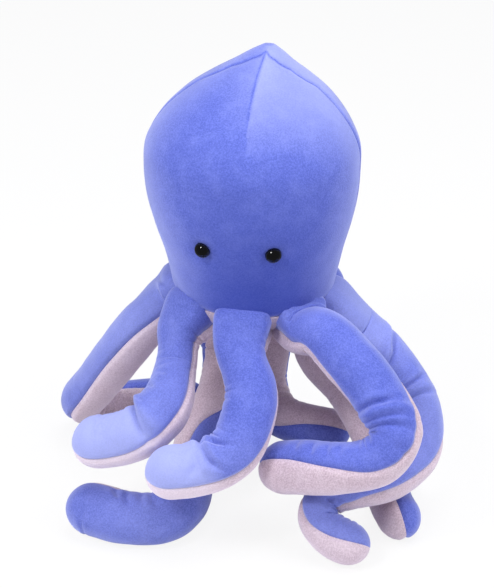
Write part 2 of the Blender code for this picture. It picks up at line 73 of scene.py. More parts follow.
# Detail of the sewn cloth
ARM_SIDES = 96
ARM_RINGS = 240
MANTLE_SIDES = 320
MANTLE_RINGS = 240
FINE_STEPS = 600
CURVE_STEPS = 40
SEAM_STEPS = 500
SEAM_WIDTH = 0.0017
ARM_SEAM_WIDTH = 0.0019
ARM_SEAM_DEPTH = 0.0016
MANTLE_SEAM_DEPTH = 0.0019
BASE_SIDES = 128
BASE_RINGS = 40

FOOT_RINGS = 14
RIM_ROLL = 0.0022
BASE_EASE = 0.0012
EYE_DIMPLE = 0.0013
DART_END_SHARE = 0.77
DART_END_TURN = 3.5
DART_STEPS = 300
DART_FADE_START = 0.35
DART_DEPTH = 0.0008
DART_WIDTH = 0.0012
DART_RIDGE = 0.0022
DART_RIDGE_WIDTH = 0.016

WRINKLE_DEPTH = 0.0021
WRINKLE_SPACING = 0.0085
WRINKLE_WAVE = 0.012
WRINKLE_WARP = 0.0045
FLOOR_SOFT = 0.0015

# The stuffing's soft unevenness: how high its large and its small lumps are, and how wide
LUMP_HEIGHT = 0.0007
SMALL_LUMP_HEIGHT = 0.0003
MANTLE_LUMP = 0.045
MANTLE_SMALL_LUMP = 0.017
MANTLE_SEED = 3
MANTLE_SMALL_SEED = 5
PEAK_CALM_SHARE = 0.03
ARM_LUMP = 0.032
ARM_SMALL_LUMP = 0.012
ARM_SMALL_SEED_STEP = 20

# An arm's root under the rim: its half width, how far it reaches up and down, and its rounding
ROOT_HALF_WIDTH = 0.0182
ROOT_TOP = 0.0165
ROOT_BELOW = 0.0105
ROOT_ROUND = 0.010
# The root is boxy, because it is sewn on along a straight edge: up to here, and gone after this
BOXY_REACH = 0.016
BOXY_FADE = 0.030
BOXY_POWER = 0.45

# The mantle's half width against its height, as in the solids
MANTLE_PROFILE_SHARES = [
    (0.00, 1.00, 0.00, 0.00, 0.00),
    (0.06, 0.92, 0.08, 0.00, 0.00),
    (0.17, 0.70, 0.30, 0.00, 0.00),
    (0.30, 0.38, 0.62, 0.00, -0.08),
    (0.43, 0.12, 0.87, 0.00, -0.15),
    (0.54, 0.00, 0.975, 0.02, -0.17),
    (0.63, 0.00, 0.96, 0.05, -0.17),
    (0.72, 0.00, 0.865, 0.12, -0.10),
    (0.80, 0.00, 0.71, 0.25, 0.05),
    (0.87, 0.00, 0.505, 0.42, 0.25),
    (0.93, 0.00, 0.29, 0.63, 0.52),
    (0.97, 0.00, 0.15, 0.82, 0.78),
    (1.00, 0.00, 0.024, 1.00, 1.00),
]
# Where the side seams and the front dart meet, near the peak
JUNCTION_SHARE = 0.985
SIDE_SEAM_TURN = 90.0
SIDE_SEAM_SHARES = [(0.0, 1.0), (0.86, 1.0), (0.93, 0.78), (0.965, 0.42), (0.985, 0.03), (1.0, 0.0)]

# Each arm: its turn, slope and swing in degrees, then its route: turn, how far out and how high
# in arm thicknesses, the roll of the blue side in degrees, and fullness. As in the solids.
ARM_ROUTE_SHARES = {
    "left": (-90, 34, 25, [
        (-82, 2.05, 3.28, -12, 0.9),
        (-84, 2.60, 2.52, -22, 0.84),
        (-92, 3.21, 1.50, -20, 0.8),
        (-100, 3.67, 0.79, -12, 0.78),
        (-108, 3.60, 0.45, -14, 0.8),
        (-118, 3.17, 0.42, -26, 0.8),
        (-126, 2.56, 0.50, -34, 0.82),
        (-134, 1.66, 0.68, -36, 0.85),
    ]),
    "front_left": (-45, 32, 25, [
        (-37, 2.00, 3.10, 0, 0.92),
        (-28, 2.72, 2.72, -4, 1.0),
        (-32, 3.16, 2.30, -8, 1.0),
        (-42, 3.52, 1.96, -10, 1.0),
        (-50, 3.92, 1.86, -10, 1.0),
    ]),
    "front": (0, 26, 22, [
        (8, 2.30, 3.06, -3, 1.0),
        (6, 2.66, 2.62, -10, 1.0),
        (1, 3.05, 2.19, -28, 1.0),
        (-10, 3.38, 1.97, -40, 1.0),
        (-23, 3.74, 1.87, -42, 1.0),
    ]),
    "front_right": (45, 10, 8, [
        (46, 1.96, 3.99, -14, 0.95),
        (48, 2.64, 3.71, -26, 1.0),
        (49, 3.49, 3.22, -44, 1.0),
        (48, 4.06, 2.71, -74, 0.96),
        (43, 4.01, 2.24, -112, 0.94),
        (35, 3.53, 1.99, -146, 0.96),
        (26, 2.90, 1.76, -162, 1.0),
        (12, 2.45, 1.53, -166, 1.0),
    ]),
    "right": (90, 30, 6, [
        (93, 1.94, 3.24, 0, 1.0),
        (89, 2.62, 2.61, 0, 1.0),
        (80, 3.28, 1.91, -28, 0.95),
        (70, 3.54, 1.44, -74, 0.84),
        (56, 3.44, 1.21, -88, 0.8),
        (44, 3.18, 1.20, -72, 0.76),
        (35, 3.00, 1.04, -44, 0.74),
        (31, 3.18, 0.72, 22, 0.76),
        (35, 3.60, 0.46, 52, 0.82),
        (41, 4.02, 0.41, 58, 0.86),
    ]),
    "back_right": (135, 50, 15, [
        (139, 1.64, 2.02, 0, 0.9),
        (116, 1.94, 1.42, 0, 0.85),
        (93, 2.28, 0.99, -4, 0.8),
        (85, 2.56, 0.38, -8, 0.77),
        (64, 3.17, 0.38, -14, 0.82),
        (54, 4.00, 0.38, -18, 0.84),
    ]),
    "back": (180, 50, 25, [
        (-180, 1.74, 1.81, -4, 0.95),
        (-179, 1.80, 0.87, 0, 0.88),
        (166, 1.36, 0.42, 35, 0.86),
        (136, 1.45, 0.40, 78, 0.86),
        (116, 2.01, 0.40, 90, 0.86),
    ]),
    "back_left": (-135, 55, 10, [
        (-144, 1.24, 2.15, 0, 0.95),
        (-119, 0.81, 1.48, -50, 0.9),
        (-72, 1.07, 0.91, -120, 0.9),
        (-42, 1.59, 0.38, -150, 0.94),
        (-25, 2.45, 0.40, -158, 1.0),
        (-26, 3.07, 0.40, -158, 1.0),
        (-35, 3.49, 0.40, -155, 1.0),
        (-45, 3.79, 0.40, -155, 1.0),
        (-50, 4.13, 0.40, -155, 1.0),
    ]),
}

# Folds in an arm's cloth: depth and width in mm, how much more it bulges on the root's side,
# and a line of places: mm along the arm, and degrees round it, where 90 is the blue side's middle
FOLDS = {
    "left": [
        (1.6, 1.7, 0.1, [(28, 112), (26, 98), (17, 76), (10, 44)]),
    ],
    "front_left": [
        (1.6, 1.2, 0.0, [(18, 92), (14, 72), (10, 50)]),
        (4.2, 2.8, 0.30, [(97, 160), (98, 130), (100, 84), (102, 50), (104, 0)]),
        (0.9, 1.6, 0.0, [(64, 96), (69, 70)]),
        (1.1, 1.6, 0.0, [(74, 120), (80, 84)]),
        (1.2, 1.6, 0.0, [(91, 112), (91, 76)]),
        (0.9, 2.2, 0.0, [(120, 92), (124, 70), (128, 48)]),
        (0.8, 2.4, 0.0, [(135, 84), (141, 54)]),
    ],
    "front": [
        (1.5, 1.1, 0.0, [(17, 76), (11, 34)]),
        (3.2, 2.6, 0.0, [(122, 168), (121, 145), (121, 105)]),
        (2.2, 1.8, 0.0, [(121, 120), (110, 94), (100, 66)]),
        (3.2, 2.0, 0.1, [(121, 106), (119, 56), (114, 28)]),
        (1.8, 2.2, 0.0, [(123, 100), (127, 54), (134, 22)]),
        (2.0, 1.8, 0.0, [(121, 112), (111, 140)]),
    ],
    "front_right": [
        (0.8, 1.0, 0.0, [(20, 140), (20, 104), (17, 60)]),
        (2.8, 1.5, 0.1, [(106, 170), (109, 106), (112, 78), (114, 46)]),
        (0.9, 0.9, 0.0, [(111, 168), (114, 130)]),
        (3.4, 1.7, 0.3, [(115, 170), (119, 100), (122, 60), (127, 0)]),
        (3.0, 1.7, 0.3, [(120, 176), (124, 100), (127, 64), (132, -10)]),
        (1.0, 1.0, 0.0, [(129, 176), (133, 120)]),
        (1.0, 2.2, 0.0, [(137, 44), (139, 15), (140, -15)]),
        (1.3, 2.2, 0.0, [(176, 58), (174, 24)]),
        (1.1, 2.0, 0.0, [(185, 58), (182, 24)]),
        (1.3, 2.2, 0.0, [(197, 54), (193, 18)]),
        (1.3, 2.2, 0.0, [(210, 62), (207, 26)]),
    ],
    "right": [
        (4.0, 2.0, 0.3, [(62, 66), (65, 96), (69, 116), (74, 132), (78, 156), (80, 184)]),
        (1.0, 1.2, 0.0, [(95, 150), (92, 112)]),
        (2.6, 1.5, 0.1, [(101, 162), (100, 122), (98, 82)]),
        (3.0, 1.7, 0.3, [(109, 162), (109, 122), (110, 62)]),
        (1.6, 2.2, 0.1, [(228, 82), (220, 40), (213, 0)]),
        (0.9, 1.6, 0.0, [(233, 82), (223, 54), (214, 30)]),
    ],
    "back_left": [
        (1.8, 2.0, 0.0, [(247, 154), (244, 110)]),
        (1.9, 1.9, 0.0, [(254, 162), (252, 122)]),
        (2.0, 1.9, 0.0, [(265, 162), (260, 116)]),
        (2.0, 1.9, 0.0, [(275, 168), (267, 136)]),
    ],
}
# Places where the cloth puffs out: by how much, how wide, how far along in mm, and degrees round
PUFFS = {
    "left": [(7.0, 12, 16, 100)],
    "front_left": [(6.0, 12, 14, 92)],
    "front": [(7.0, 12, 14, 98)],
    "front_right": [(6.0, 12, 15, 82)],
    "right": [(4.0, 12, 16, 90)],
    "back_right": [(5.0, 12, 15, 90)],
    "back": [(5.0, 12, 15, 90)],
    "back_left": [(5.0, 12, 15, 90)],
}
# How full each arm's stuffing is, against the solids, at these places in mm along it
STUFFING_SHARES = {
    "left": [(30, 1.0), (70, 1.12), (150, 1.12), (190, 1.0)],
    "front_left": [(14, 1.0), (38, 0.80), (62, 0.88), (85, 1.0)],
    "front": [(14, 1.0), (40, 0.90), (70, 1.0)],
}
# Painted light and painted shade along each arm, partly the pile's own nap: mm along it, and from -1 (painted
# shade) to 1 (painted light)
ARM_NAP_LIGHT_AND_SHADE = {
    "left": [(0, 0.35), (60, 0.5), (110, 0.25), (140, 0.0)],
    "front_left": [(0, 0.05), (60, 0.15), (92, 0.2), (104, 0.95), (150, 1.0)],
    "front": [(0, 0.0), (80, 0.0), (112, 0.15), (126, 0.9), (160, 1.0)],
    "front_right": [(0, 0.2), (60, 0.0), (120, -0.1), (150, 0.0)],
    "right": [(0, 0.45), (60, 0.5), (90, 0.15), (110, 0.35), (160, 0.3), (200, 0.1), (220, 0.3)],
    "back_left": [(230, 0.1), (250, 0.25), (300, 0.1)],
}
# Painted shade along the mantle's seams, in their grooves, and painted light right of the dart, where the
# light from the upper right falls
SEAM_SHADE = -0.75
SEAM_SHADE_WIDTH = 0.0010
DART_SEAM_SHADE = 0.6
DART_LIGHT = 0.38
DART_LIGHT_REACH = 60.0
DART_LIGHT_SHARE = 0.58
DART_LIGHT_FADE = 0.34
DART_LIGHT_TIP = 0.02
# Painted light and painted shade on the mantle: lighter on top and on the upper right, where the light falls,
# and darker low in front, in shade. Share of its height, then the painted light and shade on the left,
# in front, on the right, in columns that start at this turn and lie this many degrees apart
MANTLE_LIGHT_TURN = -130.0
MANTLE_LIGHT_STEP = 70.0
MANTLE_LIGHT_AND_SHADE = [
    (0.00, -0.20, -1.00, -0.40),
    (0.14, -0.15, -0.95, -0.35),
    (0.30, 0.00, -0.65, -0.25),
    (0.50, 0.10, -0.40, -0.10),
    (0.70, -0.10, -0.20, 0.25),
    (0.85, -0.10, 0.15, 0.60),
    (1.00, 0.20, 0.55, 0.70),
]
# How far an arm's root is sewn on to the side of its hinge, in metres
ROOT_SIDESTEPS = {"front_left": -0.0030, "front": 0.0011, "front_right": 0.0020}


# Grains of the pile and patches of the nap to a metre: about 1 mm and 12 mm
TUFTS_PER_METRE = 950.0
NAP_PER_METRE = 80.0

# The camera, as found from the photograph: 588 pixels high, 0.68 mm to a pixel
PHOTO_HEIGHT = 588
PHOTO_MIDDLE = (247, 294)
AIM_PIXEL = (254, 257.5)
MM_PER_PIXEL = 0.68
CAMERA_AZIMUTH = 9
CAMERA_ELEVATION = 27
CAMERA_DISTANCE_MM = 1500
AIM_HEIGHT = 0.168
SENSOR = 36.0

# The lamps: name, place, size, power, and whether the eyes mirror it
LAMP_AIM = (0.0, 0.0, 0.15)
LAMPS = [
    ("top softbox", (0.35, -0.05, 1.6), 1.1, 19.0, False),
    ("right softbox", (1.3, -0.4, 0.8), 0.9, 8.0, False),
    ("left softbox", (-1.3, -0.4, 0.8), 0.9, 7.0, False),
    ("key lamp", (-0.59, -0.95, 1.36), 0.32, 12.0, True),
]


# Small helpers


def linear(code):
    """An sRGB hex colour as Blender's linear one."""
    parts = [int(code[i:i + 2], 16) / 255 for i in (1, 3, 5)]
    return tuple(c / 12.92 if c <= 0.04045 else ((c + 0.055) / 1.055) ** 2.4 for c in parts) + (1.0,)


def smoothstep(share):
    share = np.clip(share, 0.0, 1.0)
    return share * share * (3 - 2 * share)


def outward(turn):
    """The level direction at this turn in degrees from the front."""
    return np.array([math.sin(math.radians(turn)), -math.cos(math.radians(turn)), 0.0])


def unit(vectors):
    return vectors / np.maximum(np.linalg.norm(vectors, axis=-1, keepdims=True), 1e-12)


def smooth_curve(points, steps):
    """A centripetal Catmull-Rom curve through the points, their other columns included."""
    points = np.asarray(points, float)
    ends = [2 * points[0] - points[1], *points, 2 * points[-1] - points[-2]]
    curve = []
    for p0, p1, p2, p3 in zip(ends, ends[1:], ends[2:], ends[3:]):
        knots = [0.0]
        for a, b in ((p0, p1), (p1, p2), (p2, p3)):
            knots.append(knots[-1] + math.sqrt(np.linalg.norm((b - a)[:3])))
        t0, t1, t2, t3 = knots
        for t in np.linspace(t1, t2, steps, endpoint=False):
            a1 = p0 + (p1 - p0) * (t - t0) / (t1 - t0)
            a2 = p1 + (p2 - p1) * (t - t1) / (t2 - t1)
            a3 = p2 + (p3 - p2) * (t - t2) / (t3 - t2)
            b1 = a1 + (a2 - a1) * (t - t0) / (t2 - t0)
            b2 = a2 + (a3 - a2) * (t - t1) / (t3 - t1)
            curve.append(b1 + (b2 - b1) * (t - t1) / (t2 - t1))
    curve.append(points[-1])
    return np.array(curve)


def lumps(points, size, seed):
    """Soft seeded unevenness between -1 and 1 at each point, with lumps of this size."""
    shift = Vector((seed * 7.3, seed * 3.1, seed * 5.7))
    return np.array([noise.noise(Vector(p / size) + shift) for p in points])


def deselect():
    if bpy.context.mode != "OBJECT":
        bpy.ops.object.mode_set(mode="OBJECT")
    bpy.ops.object.select_all(action="DESELECT")


def ball(name, segments, rings):
    """A ball whose vertices are moved to their places afterwards, with their polar shares."""
    deselect()
    bpy.ops.mesh.primitive_uv_sphere_add(segments=segments, ring_count=rings, radius=1.0)
    piece = bpy.context.object
    piece.name = piece.data.name = name
    co = np.empty(len(piece.data.vertices) * 3)
    piece.data.vertices.foreach_get("co", co)
    co = co.reshape(-1, 3)
    ring = np.rint(np.arccos(np.clip(co[:, 2], -1, 1)) / math.pi * rings).astype(int)
    side = np.rint(np.arctan2(co[:, 1], co[:, 0]) / (2 * math.pi) * segments).astype(int) % segments
    return piece, ring, side


def place_vertices(piece, points):
    piece.data.vertices.foreach_set("co", np.asarray(points, float).ravel())
    piece.data.update()


def store_nap_light_and_shade(mesh, values):
    """Keeps the painted light and shade at each vertex, partly the pile's own nap, for the velour's colour.
    """
    mesh.attributes.new("nap_light_and_shade", "FLOAT", "POINT").data.foreach_set("value", np.asarray(values, np.float32))


def face_out(piece):
    """Turns the closed mesh's faces outwards and shades it smooth."""
    bm = bmesh.new()
    bm.from_mesh(piece.data)
    bmesh.ops.recalc_face_normals(bm, faces=bm.faces)
    bm.to_mesh(piece.data)
    bm.free()
    piece.data.shade_smooth()


# The mantle


def mantle_curve():
    rows = []
    for height, rim, belly, back, side in MANTLE_PROFILE_SHARES:
        width = rim * RIM_RADIUS + belly * MANTLE_WIDTH / 2
        rows.append((height * MANTLE_HEIGHT, width, back * PEAK_SETBACK, side * PEAK_SIDESTEP))
    return smooth_curve(rows, CURVE_STEPS)


MANTLE_CURVE = mantle_curve()


def mantle_skin(height_shares, turns):
    """Points on the outside of the mantle."""
    height_shares, turns = np.broadcast_arrays(np.asarray(height_shares, float), np.asarray(turns, float))
    heights = height_shares * MANTLE_HEIGHT
    width, back, side = (np.interp(heights, MANTLE_CURVE[:, 0], MANTLE_CURVE[:, k]) for k in (1, 2, 3))
    angle = np.radians(turns)
    level = (side + np.sin(angle) * width, back - np.cos(angle) * width)
    return np.stack([*level, RIM_HEIGHT + heights], axis=-1) + RIM_MIDDLE


def side_seam_turn(height_shares):
    heights, turns = zip(*SIDE_SEAM_SHARES)
    return SIDE_SEAM_TURN * np.interp(height_shares, heights, turns)


def distance_to(points, line):
    """How far each point is from a line of points, and where along the line, from 0 to 1."""
    tree = kdtree.KDTree(len(line))
    for i, p in enumerate(line):
        tree.insert(Vector(p), i)
    tree.balance()
    found = [tree.find(Vector(p)) for p in points]
    return np.array([f[2] for f in found]), np.array([f[1] for f in found]) / (len(line) - 1)


def eye_seat(turn):
    """The place of an eye on the mantle, and the direction straight out of the cloth there."""
    place = mantle_skin(EYE_HEIGHT_SHARE, turn)
    rise = mantle_skin(EYE_HEIGHT_SHARE + 0.01, turn) - mantle_skin(EYE_HEIGHT_SHARE - 0.01, turn)
    round_way = mantle_skin(EYE_HEIGHT_SHARE, turn + 2) - mantle_skin(EYE_HEIGHT_SHARE, turn - 2)
    return place, unit(np.cross(round_way, rise))


def mantle_seams(points):
    """The side seams, the centre-back seam that runs over the peak, and the front dart: how far
    they pull each point in, and how much painted shade lies in their grooves."""
    shares = np.linspace(0.0, JUNCTION_SHARE, SEAM_STEPS)
    lines = [mantle_skin(shares, sign * side_seam_turn(shares)) for sign in (-1, 1)]
    lines.append(mantle_skin(np.linspace(0.0, 1.0, SEAM_STEPS), np.full(SEAM_STEPS, 180.0)))
    off = np.min([distance_to(points, line)[0] for line in lines], axis=0)
    depth = MANTLE_SEAM_DEPTH * np.exp(-(off / SEAM_WIDTH) ** 2)
    seam_shade = np.exp(-(off / SEAM_SHADE_WIDTH) ** 2)
    off, fade = dart_near(points)
    depth = np.maximum(depth, DART_DEPTH * fade * np.exp(-(off / DART_WIDTH) ** 2))
    return depth, np.maximum(seam_shade, DART_SEAM_SHADE * fade * np.exp(-(off / SEAM_SHADE_WIDTH) ** 2))


def dart_turn(height_shares):
    """How far the front dart, or its line carried on, has turned from the front."""
    return DART_END_TURN * (JUNCTION_SHARE - height_shares) / (JUNCTION_SHARE - DART_END_SHARE)


def dart_near(points):
    """How far each point is from the front dart, and how strong the dart is there. It runs from
    the junction near the peak down the forehead, and fades out."""
    shares = np.linspace(JUNCTION_SHARE, DART_END_SHARE, DART_STEPS)
    off, along = distance_to(points, mantle_skin(shares, dart_turn(shares)))
    return off, 1 - smoothstep((along - DART_FADE_START) / (1 - DART_FADE_START))


def mantle_light_and_shade(share, turns, seam_shade):
    """The painted light and shade on the mantle at each point."""
    at, left, front, right = zip(*MANTLE_LIGHT_AND_SHADE)
    seen = (turns + 180) % 360 - 180
    columns = (left, left, front, right, right)
    rows = np.stack([np.interp(share, at, values) for values in columns], axis=1)
    place = np.clip((seen - MANTLE_LIGHT_TURN) / MANTLE_LIGHT_STEP, 0, len(columns) - 1.001)
    low = place.astype(int)
    part = smoothstep(place - low)
    picked = np.arange(len(low))
    nap_light_and_shade = rows[picked, low] * (1 - part) + rows[picked, low + 1] * part
    # painted light right of the dart, where the light from the upper right falls
    past_dart = seen - dart_turn(share)
    beside = (past_dart > 0) * np.clip(1 - past_dart / DART_LIGHT_REACH, 0, 1)
    below_tip = np.clip((1 - share) / DART_LIGHT_TIP, 0, 1)
    risen = smoothstep((share - DART_LIGHT_SHARE) / DART_LIGHT_FADE)
    nap_light_and_shade += DART_LIGHT * beside * risen * below_tip
    # painted shade in the seams' grooves
    return np.clip(nap_light_and_shade + SEAM_SHADE * seam_shade, -1, 1)


def make_mantle(finish):
    """The stuffed mantle, with its seams pulled in and its foot rolled in to the rim seam."""
    piece, ring, side = ball("mantle_plush", MANTLE_SIDES, MANTLE_RINGS)
    heights = np.linspace(0, 1, FINE_STEPS * 4 + 1)
    skin_line = mantle_skin(heights, np.full(len(heights), SIDE_SEAM_TURN))
    lengths = np.concatenate([[0], np.cumsum(np.linalg.norm(np.diff(skin_line, axis=0), axis=1))])
    shares = np.interp(np.linspace(0, lengths[-1], MANTLE_RINGS - FOOT_RINGS + 1), lengths, heights)
    turns = side * 360 / MANTLE_SIDES - 180
    up = MANTLE_RINGS - ring  # counted from the bottom pole
    on_skin = up >= FOOT_RINGS
    share = np.where(on_skin, shares[np.maximum(up - FOOT_RINGS, 0)], 0.0)
    foot = np.clip(up / FOOT_RINGS, 0, 1)
    angle = np.radians(turns)
    level = np.stack([np.sin(angle), -np.cos(angle), np.zeros(len(angle))], axis=-1)
    points = mantle_skin(share, turns)
    points -= level * (RIM_RADIUS * (1 - np.sqrt(foot)))[:, None]
    # the cloth rolls in to the rim seam
    lift = share * MANTLE_HEIGHT
    points -= level * (RIM_ROLL * np.exp(-(lift / RIM_ROLL) ** 1.2) * foot)[:, None]
    # pulled in at the seams and the eyes, uneven with its stuffing
    seams, seam_shade = mantle_seams(points)
    move = -seams
    off, fade = dart_near(points)
    move += DART_RIDGE * fade * np.exp(-off / DART_RIDGE_WIDTH)
    top_fade = np.clip((1 - share) / PEAK_CALM_SHARE, 0, 1)
    move += LUMP_HEIGHT * lumps(points, MANTLE_LUMP, MANTLE_SEED) * top_fade
    move += SMALL_LUMP_HEIGHT * lumps(points, MANTLE_SMALL_LUMP, MANTLE_SMALL_SEED) * top_fade
    for sign in (-1, 1):
        seat, _ = eye_seat(sign * EYE_TURN)
        away = np.linalg.norm(points - seat, axis=1)
        move -= EYE_DIMPLE * np.exp(-(away / EYE_DIAMETER) ** 2)
    middle = mantle_skin(share, turns) - level * 0.02
    out = unit(unit(points - middle) + level)
    move *= on_skin * np.clip(lift / 0.004, 0, 1)
    points += out * move[:, None]
    place_vertices(piece, points)
    face_out(piece)
    # the painted light and shade on the mantle, kept on its vertices
    store_nap_light_and_shade(piece.data, mantle_light_and_shade(share, turns, seam_shade))
    piece.data.materials.append(finish)
    return piece


def make_base(finish):
    """The stuffed underside that closes the mantle between the arms."""
    piece, ring, side = ball("base_plush", BASE_SIDES, BASE_RINGS)
    share = ring / BASE_RINGS
    angle = 2 * math.pi * side / BASE_SIDES
    radius = (RIM_RADIUS - BASE_EASE) * np.clip(np.sin(np.pi * share), 0, 1) ** 0.6
    drop = BASE_DEPTH * np.clip(-np.cos(np.pi * share), 0, 1) ** 1.6
    points = np.stack([np.sin(angle) * radius, -np.cos(angle) * radius, RIM_HEIGHT - drop], axis=-1)
    place_vertices(piece, points + RIM_MIDDLE)
    face_out(piece)
    piece.data.materials.append(finish)
    return piece


# The arms


class Arm:
    """An arm's centre line with its frame, roll and fullness at every fine step."""

    def __init__(self, turn, slope, swing, route):
        self.turn = turn
        self.slope = slope
        down = math.radians(slope)
        direction = outward(turn) * math.cos(down) - np.array([0, 0, math.sin(down)])
        self.hinge = outward(turn) * (RIM_RADIUS - HINGE_INSET) + np.array([0, 0, RIM_HEIGHT - HINGE_DROP])
        rows = [
            [*(self.hinge - direction * ROOT_THICKNESS / 2), 0.0, 1.0],
            [*self.hinge, 0.0, 1.0],
            [*(self.hinge + direction * FIRST_REACH), 0.0, 1.0],
        ]
        for point_turn, out_share, height_share, roll, fullness in route:
            middle = outward(point_turn) * out_share * ARM_THICKNESS
            middle[2] = height_share * ARM_THICKNESS
            rows.append([*middle, roll, fullness])
        curve = smooth_curve(rows, CURVE_STEPS)
        steps = np.linalg.norm(np.diff(curve[:, :3], axis=0), axis=1)
        places = np.concatenate([[0.0], np.cumsum(steps)])
        self.length = places[-1]
        self.places = np.linspace(0.0, self.length, FINE_STEPS + 1)
        columns = [np.interp(self.places, places, curve[:, k]) for k in range(5)]
        self.points = np.stack(columns[:3], axis=1)
        self.roll = np.radians(columns[3])
        self.fullness = columns[4]
        self.find_frames()
        self.lay_on_floor()
        self.find_frames()

    def lay_on_floor(self):
        """Lifts the centre line where the arm would sink deeper than its pressed flat."""
        steepness = np.sqrt(self.across[:, 2] ** 2 + self.up[:, 2] ** 2)
        floor = ARM_THICKNESS / 2 * self.fullness * steepness - FLOOR_FLAT
        reach = int(FLOOR_EASE / self.length * FINE_STEPS)
        weights = np.hanning(2 * reach + 3)[1:-1]
        lifted = np.pad(np.maximum(self.points[:, 2], floor), reach, mode="edge")
        eased = np.convolve(lifted, weights / weights.sum(), "valid")
        self.points[:, 2] = np.maximum(eased, floor)

    def find_frames(self):
        along = np.gradient(self.points, axis=0)
        self.along = unit(along)
        step = self.length / FINE_STEPS
        self.bend = np.gradient(self.along, axis=0) / step
        first = np.cross(self.along[0], np.cross([0, 0, 1], self.along[0]))
        up = [first / np.linalg.norm(first)]
        for before, after in zip(self.along, self.along[1:]):
            turned = Vector(before).rotation_difference(Vector(after)) @ Vector(up[-1])
            level = np.array(turned) - after * np.dot(turned, after)
            up.append(level / np.linalg.norm(level))
        self.up = np.array(up)
        self.across = np.cross(self.up, self.along)

    def at(self, places, values):
        if values.ndim == 1:
            return np.interp(places, self.places, values)
        return np.stack([np.interp(places, self.places, column) for column in values.T], axis=1)


def rounded(places, length):
    past = np.clip(1 - places / length, 0, 1)
    return np.sqrt(1 - past ** 2)


def arm_places(arm):
    """Where the rings of a cover lie, closer together at both rounded ends."""
    cap = 12
    half = ARM_THICKNESS / 2
    ends = half * (1 - np.cos(np.linspace(0, math.pi / 2, cap + 1)))
    body = np.linspace(ends[-1], arm.length - half, ARM_RINGS - 2 * cap + 1)
    tip = arm.length - ends[::-1]
    return np.concatenate([ends[:-1], body[:-1], tip])


def arm_surface(arm, places, angles, stuffing=((0, 1.0),)):
    """The middle and the reach of the stuffed arm. Angle 90 degrees is the middle of its blue side."""
    middle, up, across, bend, roll, fullness = (
        arm.at(places, values)
        for values in (arm.points, arm.up, arm.across, arm.bend, arm.roll, arm.fullness)
    )
    half = ARM_THICKNESS / 2
    at, shares = zip(*stuffing)
    fullness = fullness * np.interp(places * 1000, at, shares)
    swell = smoothstep((places - ROOT_THICKNESS / 2) / ROOT_TAPER)
    ends = rounded(places, ROOT_ROUND) * rounded(arm.length - places, half) * fullness
    width, top, below = (
        (root + (half - root) * swell) * ends for root in (ROOT_HALF_WIDTH, ROOT_TOP, ROOT_BELOW)
    )
    boxy = 1 - smoothstep((places - BOXY_REACH) / BOXY_FADE)
    power = 1 - (1 - BOXY_POWER) * boxy
    local = angles - roll
    side = np.sign(np.cos(local)) * np.abs(np.cos(local)) ** power
    rise = np.sign(np.sin(local)) * np.abs(np.sin(local)) ** power
    height = np.where(rise > 0, top, below)
    reach = across * (width * side)[:, None] + up * (height * rise)[:, None]
    # the inner side of a bend is squeezed, so that it never folds through itself
    inward = np.sum(reach * bend, axis=1)
    squeezed = 0.6 + 0.3 * np.tanh((inward - 0.6) / 0.3)
    reach *= np.where(inward > 0.6, squeezed / np.maximum(inward, 1e-6), 1.0)[:, None]
    return middle, reach


def fold_depth(name, places, angles):
    """How far the folds and puffs of this arm's cloth move it out or in at each point."""
    half = ARM_THICKNESS / 2
    move = np.zeros(len(places))
    for depth, width, lean, line in FOLDS.get(name, ()):
        line = [(place / 1000, math.radians(angle) * half) for place, angle in line]
        centre = sum(v for _, v in line) / len(line)
        u = places
        v = (angles * half - centre + math.pi * half) % (2 * math.pi * half) - math.pi * half + centre
        best = np.full(len(places), 1.0)
        side = np.zeros(len(places))
        along = np.zeros(len(places))
        total = sum(math.dist(a, b) for a, b in zip(line, line[1:]))
        gone = 0.0
        for (u0, v0), (u1, v1) in zip(line, line[1:]):
            long = math.dist((u0, v0), (u1, v1))
            share = np.clip(((u - u0) * (u1 - u0) + (v - v0) * (v1 - v0)) / long ** 2, 0, 1)
            off_u, off_v = u - u0 - share * (u1 - u0), v - v0 - share * (v1 - v0)
            off = np.hypot(off_u, off_v)
            near = off < best
            best = np.where(near, off, best)
            side = np.where(near, np.sign(off_u), side)
            along = np.where(near, (gone + share * long) / total, along)
            gone += long
        width /= 1000
        taper = np.clip(np.minimum(along / 0.3, (1 - along) / 0.3), 0, 1)
        taper = 0.25 + 0.75 * smoothstep(taper)
        valley = np.exp(-(best / width) ** 1.4)
        lips = np.exp(-((best - 2.3 * width) / (1.6 * width)) ** 2) * (0.35 - lean * side)
        move += depth / 1000 * taper * (lips - valley)
    for height, wide, place, angle in PUFFS.get(name, ()):
        off_v = np.abs((angles - math.radians(angle) + math.pi) % (2 * math.pi) - math.pi) * half
        off = np.hypot(places - place / 1000, off_v * 0.7)
        move += height / 1000 * np.exp(-(off / (wide / 1000)) ** 2)
    return move


